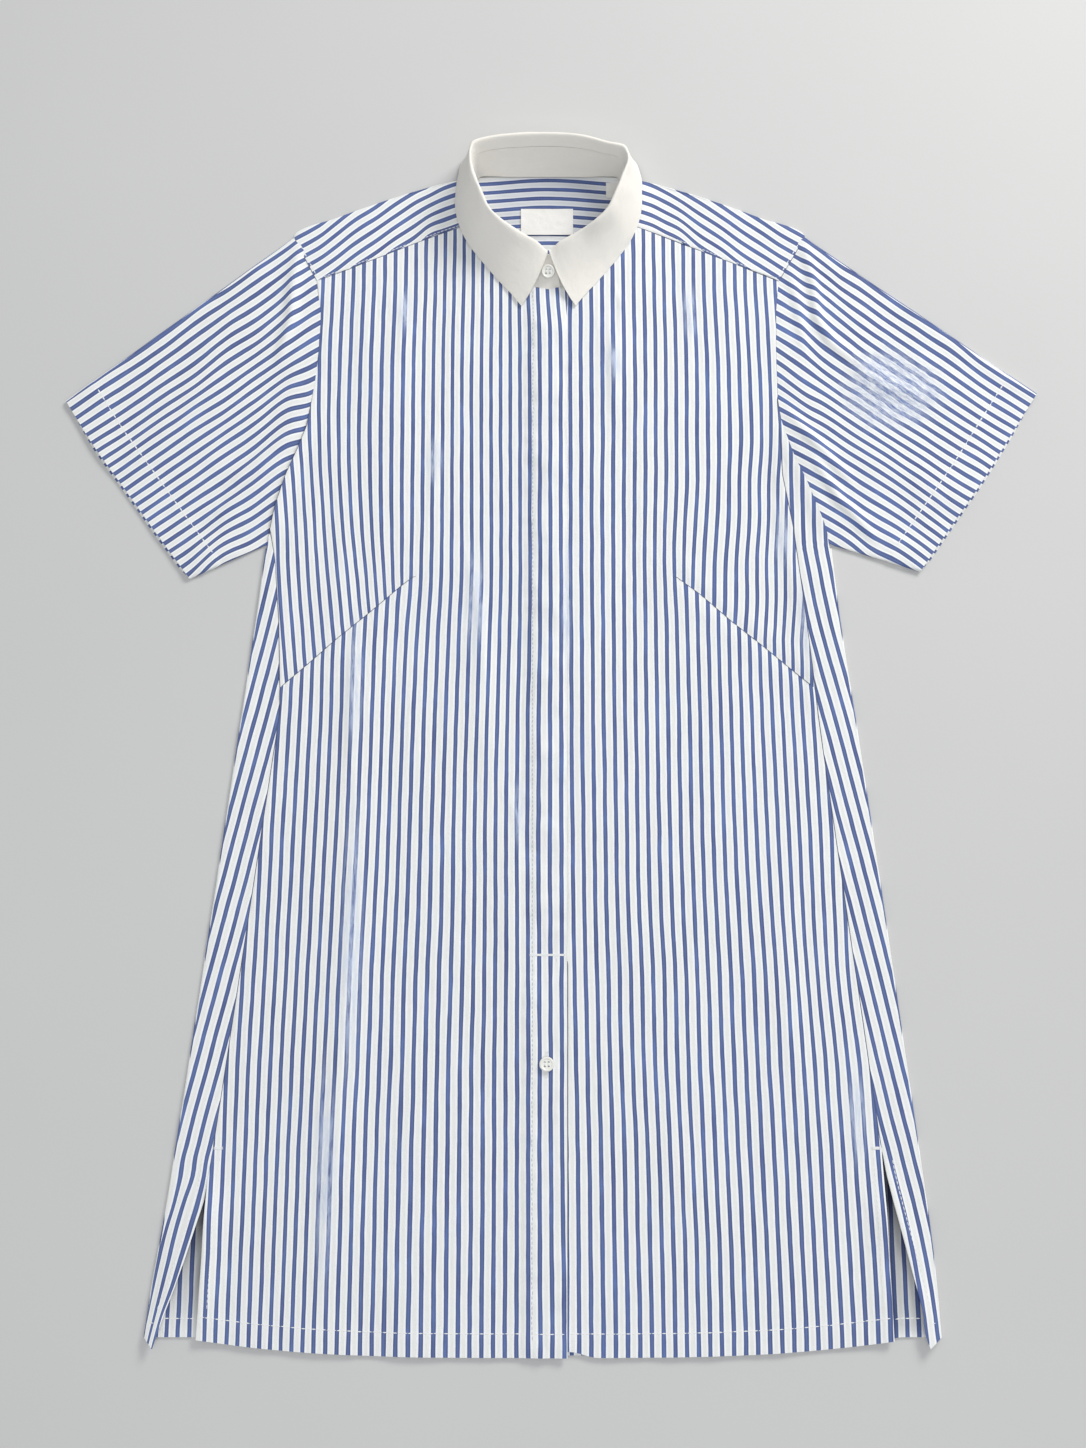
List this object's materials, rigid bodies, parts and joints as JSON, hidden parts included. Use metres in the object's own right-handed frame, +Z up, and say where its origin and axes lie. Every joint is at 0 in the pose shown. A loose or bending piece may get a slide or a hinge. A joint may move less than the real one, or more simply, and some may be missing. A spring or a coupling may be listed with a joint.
{
  "type": "shirt dress",
  "caption": "Short-sleeved striped cotton shirt dress laid flat and buttoned, with a plain turned-down collar, a hidden button placket, side slits and a gently curved hem.",
  "frame": {"origin": "centre of the underside of the bounding box, on the surface that the dress lies on", "axes": "+Y from the hem to the collar, +X to the wearer's left, +Z up from the surface"},
  "size_m": [0.7888, 0.9624, 0.035],
  "materials": {
    "striped_cotton": "matt",
    "collar_cotton": "matt",
    "button": "satin",
    "woven_label": "satin"
  },
  "bodies": {
    "root": {"back_panel": "striped_cotton", "front_right": "striped_cotton", "front_left": "striped_cotton", "yoke": "striped_cotton", "sleeve_right": "striped_cotton", "sleeve_left": "striped_cotton", "collar_stand": "collar_cotton", "collar_fall": "collar_cotton", "hem_button": "button", "collar_button": "button", "fly_button_1": "button", "fly_button_2": "button", "fly_button_3": "button", "fly_button_4": "button", "fly_button_5": "button", "fly_button_6": "button", "fly_button_7": "button", "fly_button_8": "button", "fly_button_9": "button", "neck_label": "woven_label", "size_tab": "woven_label"}
  },
  "joints": []
}
